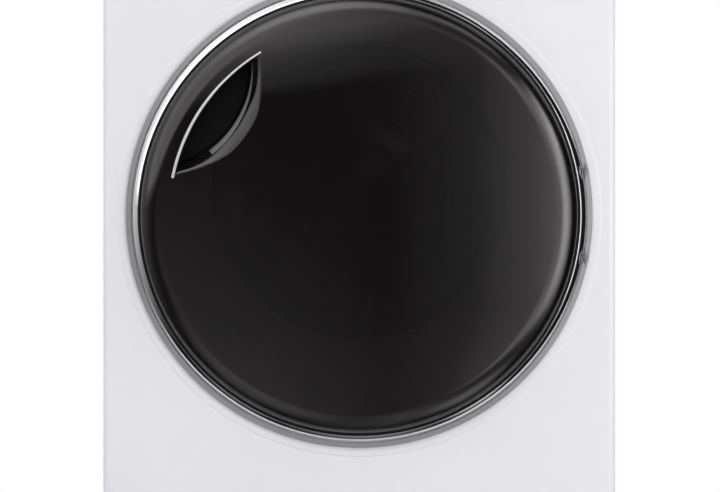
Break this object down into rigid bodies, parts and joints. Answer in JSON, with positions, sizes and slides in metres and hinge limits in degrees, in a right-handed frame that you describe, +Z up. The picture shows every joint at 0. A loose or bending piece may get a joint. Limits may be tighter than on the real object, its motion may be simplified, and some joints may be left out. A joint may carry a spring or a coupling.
{
  "type": "heat pump tumble dryer",
  "caption": "Free-standing front-loading heat pump tumble dryer with a round domed black door, chrome rim, hinged door, turning drum and pull-out water tank.",
  "frame": {"origin": "on the floor, in the middle of the machine's width and depth", "axes": "+X to the machine's right as seen from the front, -Y to the front, +Z up"},
  "size_m": [0.595, 0.655, 0.845],
  "materials": {
    "white_paint": "smooth white enamel",
    "white_plastic": "white moulded plastic",
    "grey_plastic": "dark grey moulded plastic",
    "light_grey_plastic": "light grey moulded plastic",
    "black_panel": "glossy black see-through plastic",
    "black_plastic": "black moulded plastic",
    "bezel_grey": "satin silver grey plastic",
    "chrome": "polished chrome",
    "silver_trim": "satin silver",
    "clear_glass": "clear pressed glass",
    "seal_rubber": "grey rubber",
    "black_rubber": "black rubber",
    "zinc_steel": "galvanised steel",
    "stainless": "brushed stainless steel",
    "felt": "wool felt",
    "black_enamel": "black enamel",
    "fin_aluminium": "bare aluminium",
    "belt_rubber": "ribbed belt rubber"
  },
  "bodies": {
    "cabinet": {"base_tray": "grey_plastic", "left_side_panel": "white_paint", "right_side_panel": "white_paint", "worktop": "white_plastic", "rear_panel": "zinc_steel", "rear_duct_cover": "zinc_steel", "front_panel": "white_paint", "door_bezel": "bezel_grey", "control_panel": "white_plastic", "display_window": "black_panel", "control_board": "light_grey_plastic", "tank_housing": "light_grey_plastic", "front_bulkhead": "light_grey_plastic", "drum_felts": "felt", "drum_light": "clear_glass", "hinge_bracket": "zinc_steel", "latch_housing": "black_plastic", "rear_bearing": "zinc_steel", "motor": "zinc_steel", "fan_housing": "grey_plastic", "drum_belt": "belt_rubber", "compressor": "black_enamel", "evaporator": "fin_aluminium", "condenser": "fin_aluminium", "heat_exchanger_cover": "grey_plastic", "condensate_pump": "black_plastic", "condensate_hose": "light_grey_plastic", "mains_gland": "black_plastic"},
    "door": {"door_outer_panel": "black_panel", "door_trim_ring": "chrome", "handle_cup": "black_plastic", "handle_trim": "silver_trim", "door_frame": "light_grey_plastic", "door_glass": "clear_glass", "door_seal": "seal_rubber", "door_striker": "zinc_steel", "hinge_leaf": "zinc_steel"},
    "drum": {"drum_shell": "stainless", "drum_back": "stainless", "drum_lifters": "light_grey_plastic", "drum_shaft": "zinc_steel"},
    "rotor": {"motor_shaft": "zinc_steel", "fan_impeller": "black_plastic"},
    "left_roller": {"left_roller": "black_rubber"},
    "right_roller": {"right_roller": "black_rubber"},
    "tensioner": {"tensioner_arm": "zinc_steel"},
    "tensioner_wheel": {"tensioner_pulley": "black_plastic"},
    "water_tank": {"water_tank": "light_grey_plastic", "tank_front": "white_plastic"},
    "lint_filter": {"lint_filter": "light_grey_plastic"},
    "dial": {"programme_dial": "silver_trim"},
    "power_button": {"power_button": "silver_trim"},
    "start_button": {"start_button": "silver_trim"},
    "kick_flap": {"kick_flap": "white_plastic"},
    "cover_lever": {"cover_lever": "light_grey_plastic"},
    "latch_pawl": {"latch_pawl": "black_plastic"},
    "front_left_foot": {"front_left_foot": "black_rubber"},
    "front_right_foot": {"front_right_foot": "black_rubber"},
    "rear_left_foot": {"rear_left_foot": "black_rubber"},
    "rear_right_foot": {"rear_right_foot": "black_rubber"}
  },
  "joints": [
    {"name": "door_hinge", "type": "hinge", "parent": "cabinet", "child": "door", "pos_m": [0.2623, -0.2905, 0.432], "axis": [0, 0, 1], "range_deg": [0, 125]},
    {"name": "drum_spin", "type": "hinge", "parent": "cabinet", "child": "drum", "pos_m": [0, 0, 0.475], "axis": [0, 1, 0], "continuous": true},
    {"name": "rotor_spin", "type": "hinge", "parent": "cabinet", "child": "rotor", "pos_m": [-0.15, 0.1, 0.106], "axis": [0, 1, 0], "continuous": true},
    {"name": "left_roller_spin", "type": "hinge", "parent": "cabinet", "child": "left_roller", "pos_m": [-0.18488, -0.1475, 0.23836], "axis": [0, 1, 0], "continuous": true},
    {"name": "right_roller_spin", "type": "hinge", "parent": "cabinet", "child": "right_roller", "pos_m": [0.18488, -0.1475, 0.23836], "axis": [0, 1, 0], "continuous": true},
    {"name": "tensioner_swing", "type": "hinge", "parent": "cabinet", "child": "tensioner", "pos_m": [-0.0497, 0.05, 0.1676], "axis": [0, -1, 0], "range_deg": [0, 8], "stiffness_Nm_per_rad": 0.8, "springref_deg": -17.19},
    {"name": "tensioner_wheel_spin", "type": "hinge", "parent": "tensioner", "child": "tensioner_wheel", "pos_m": [-0.092, 0.045, 0.138], "axis": [0, 1, 0], "continuous": true},
    {"name": "water_tank_slide", "type": "slide", "parent": "cabinet", "child": "water_tank", "axis": [0, -1, 0], "range_m": [0, 0.44]},
    {"name": "lint_filter_lift", "type": "slide", "parent": "cabinet", "child": "lint_filter", "axis": [0, 0, 1], "range_m": [0, 0.14]},
    {"name": "dial_turn", "type": "hinge", "parent": "cabinet", "child": "dial", "pos_m": [-0.004, -0.2825, 0.773], "axis": [0, -1, 0], "continuous": true},
    {"name": "power_button_press", "type": "slide", "parent": "cabinet", "child": "power_button", "axis": [0, 1, 0], "range_m": [0, 0.0015], "stiffness_N_per_m": 600, "springref_m": -0.0015},
    {"name": "start_button_press", "type": "slide", "parent": "cabinet", "child": "start_button", "axis": [0, 1, 0], "range_m": [0, 0.0015], "stiffness_N_per_m": 800, "springref_m": -0.0015},
    {"name": "kick_flap_hinge", "type": "hinge", "parent": "cabinet", "child": "kick_flap", "pos_m": [0, -0.2725, 0.023], "axis": [1, 0, 0], "range_deg": [0, 85]},
    {"name": "cover_lever_turn", "type": "hinge", "parent": "cabinet", "child": "cover_lever", "pos_m": [-0.058, -0.255, 0.0595], "axis": [0, -1, 0], "range_deg": [0, 90]},
    {"name": "latch_pawl_swing", "type": "hinge", "parent": "cabinet", "child": "latch_pawl", "pos_m": [-0.2179, -0.2545, 0.432], "axis": [0, 0, 1], "range_deg": [0, 20], "stiffness_Nm_per_rad": 0.05, "springref_deg": -20.05},
    {"name": "front_left_foot_screw", "type": "slide", "parent": "cabinet", "child": "front_left_foot", "axis": [0, 0, -1], "range_m": [0, 0.01]},
    {"name": "front_right_foot_screw", "type": "slide", "parent": "cabinet", "child": "front_right_foot", "axis": [0, 0, -1], "range_m": [0, 0.01]},
    {"name": "rear_left_foot_screw", "type": "slide", "parent": "cabinet", "child": "rear_left_foot", "axis": [0, 0, -1], "range_m": [0, 0.01]},
    {"name": "rear_right_foot_screw", "type": "slide", "parent": "cabinet", "child": "rear_right_foot", "axis": [0, 0, -1], "range_m": [0, 0.01]}
  ],
  "couplings": [
    {"joint": "rotor_spin", "follows": "drum_spin", "ratio": 23.839},
    {"joint": "left_roller_spin", "follows": "drum_spin", "ratio": -14},
    {"joint": "right_roller_spin", "follows": "drum_spin", "ratio": -14},
    {"joint": "tensioner_wheel_spin", "follows": "drum_spin", "ratio": -17.258}
  ]
}
